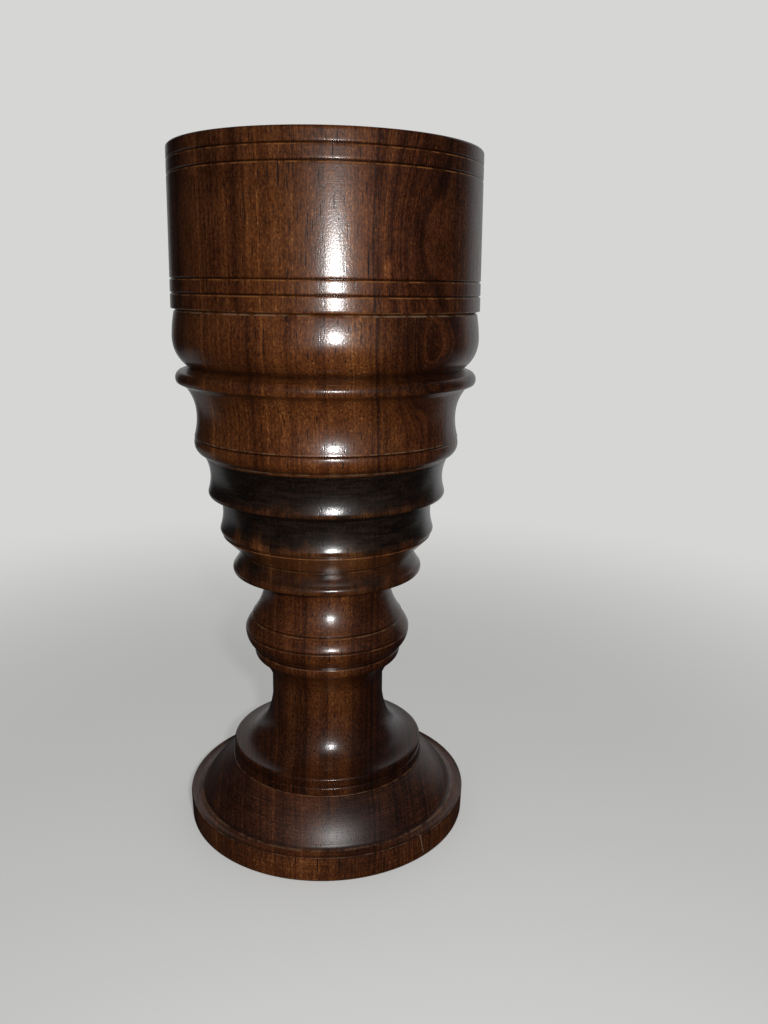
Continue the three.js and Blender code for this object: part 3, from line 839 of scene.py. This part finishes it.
def layFloor(v=studio):
    bpy.ops.object.select_all(action="DESELECT")
    bpy.ops.mesh.primitive_plane_add(size=v["floorSize"], location=(0, 0, 0))
    floor = bpy.context.object
    floor.name = "paleFloor"
    material, tree = newMaterial("paleFloorBoard")
    lit = addNode(tree, "BsdfDiffuse", None, {"Color": colour(v["floorSeen"])}).outputs[0]
    glow = addNode(tree, "Emission", None, {"Color": colour(v["roomSeen"]), "Strength": 1}).outputs[0]
    place = addNode(tree, "TexCoord").outputs["Object"]
    away = addNode(tree, "VectorMath", howFar, [place]).outputs["Value"]
    fade = addNode(tree, "MapRange", softly, [away, *v["fadeOut"], v["floorGlow"], 1.0]).outputs[0]
    seen = addNode(tree, "MixShader", None, [fade, lit, glow]).outputs[0]
    # The polish meets a dark board, and the pale foot of the wall of light behind it
    path = addNode(tree, "LightPath").outputs
    depth = addNode(tree, "SeparateXYZ", None, [place]).outputs[1]
    behind = addNode(tree, "MapRange", softly, [depth, *v["wallFoot"]]).outputs[0]
    near = addNode(tree, "MapRange", softly, [away, *v["wallNear"], 0.0, v["nearLevel"]]).outputs[0]
    wall = addNode(tree, "Math", highest, [near, wallWindow(tree, place)]).outputs[0]
    for share in (behind, path["Is Glossy Ray"]):
        wall = addNode(tree, "Math", multiply, [wall, share]).outputs[0]
    wall = addNode(tree, "Emission", None, {"Strength": wall}).outputs[0]
    board = addNode(tree, "BsdfDiffuse", None, {"Color": colour(v["floorMet"])}).outputs[0]
    met = addNode(tree, "AddShader", None, [board, wall]).outputs[0]
    both = addNode(tree, "MixShader", None, [path["Is Camera Ray"], met, seen]).outputs[0]
    addNode(tree, "OutputMaterial", None, [both])
    dress(floor, material)


def hangLamp(v=studio):
    place, aim = Vector(v["lampPlace"]), Vector(v["lampAim"])
    bpy.ops.object.light_add(type="AREA", location=place)
    lamp = bpy.context.object
    lamp.name = "lensLamp"
    lamp.rotation_euler = (aim - place).to_track_quat("-Z", "Y").to_euler()
    lamp.data.shape = "RECTANGLE"
    lamp.data.size = lamp.data.size_y = v["lampSize"]
    lamp.data.energy = v["lampPower"]
    lamp.visible_camera = False


def paintWorld(v=studio):
    world = bpy.data.worlds.new("paleRoom")
    bpy.context.scene.world = world
    world.use_nodes = True
    tree = world.node_tree
    tree.nodes.clear()
    path = addNode(tree, "LightPath").outputs
    way = addNode(tree, "TexCoord").outputs["Generated"]
    rise = addNode(tree, "SeparateXYZ", None, [way]).outputs[2]
    under = addNode(tree, "MapRange", softly, [rise, *v["wallTop"]]).outputs[0]
    wall = addNode(tree, "Math", multiply, [wallWindow(tree, way), under]).outputs[0]
    room = [path["Is Glossy Ray"], 0.0, 1.0, v["roomFill"], v["roomGlossy"]]
    room = addNode(tree, "MapRange", None, room).outputs[0]
    level = addNode(tree, "Math", add, [wall, room]).outputs[0]
    fill = addNode(tree, "Background", None, {"Color": grey(1), "Strength": level}).outputs[0]
    seen = addNode(tree, "Background", None, {"Color": colour(v["roomSeen"]), "Strength": 1}).outputs[0]
    both = addNode(tree, "MixShader", None, [path["Is Camera Ray"], fill, seen]).outputs[0]
    addNode(tree, "OutputWorld", None, [both])


# The photograph's view: a phone held close, a little to the right of square and looking down
lens = {
    "focal": 880, "imageHeight": 1024, "sensor": 36,       # focal length and height in pixels
    "distance": 326, "height": 204.7, "pitch": 14.26, "roll": 0.8, "yaw": 3.8,
}


def setCamera(v=lens):
    data = bpy.data.cameras.new("photoCamera")
    camera = bpy.data.objects.new("photoCamera", data)
    bpy.context.scene.collection.objects.link(camera)
    pitch, roll, yaw = (math.radians(v[k]) for k in ("pitch", "roll", "yaw"))
    ahead = Vector((math.sin(yaw) * math.cos(pitch), math.cos(yaw) * math.cos(pitch), -math.sin(pitch)))
    level = Vector((math.cos(yaw), -math.sin(yaw), 0))
    up = level.cross(ahead)
    right = math.cos(roll) * level + math.sin(roll) * up
    top = math.cos(roll) * up - math.sin(roll) * level
    turn = Matrix((right, top, -ahead)).transposed()
    camera.matrix_world = Matrix.Translation((0, mm(-v["distance"]), mm(v["height"]))) @ turn.to_4x4()
    data.sensor_width = v["sensor"]
    data.lens = v["sensor"] * v["focal"] / v["imageHeight"]
    data.clip_start = 0.01
    bpy.context.scene.camera = camera


print("setting the studio")
layFloor()
hangLamp()
paintWorld()
setCamera()
bpy.context.scene.view_settings.view_transform = "Standard"
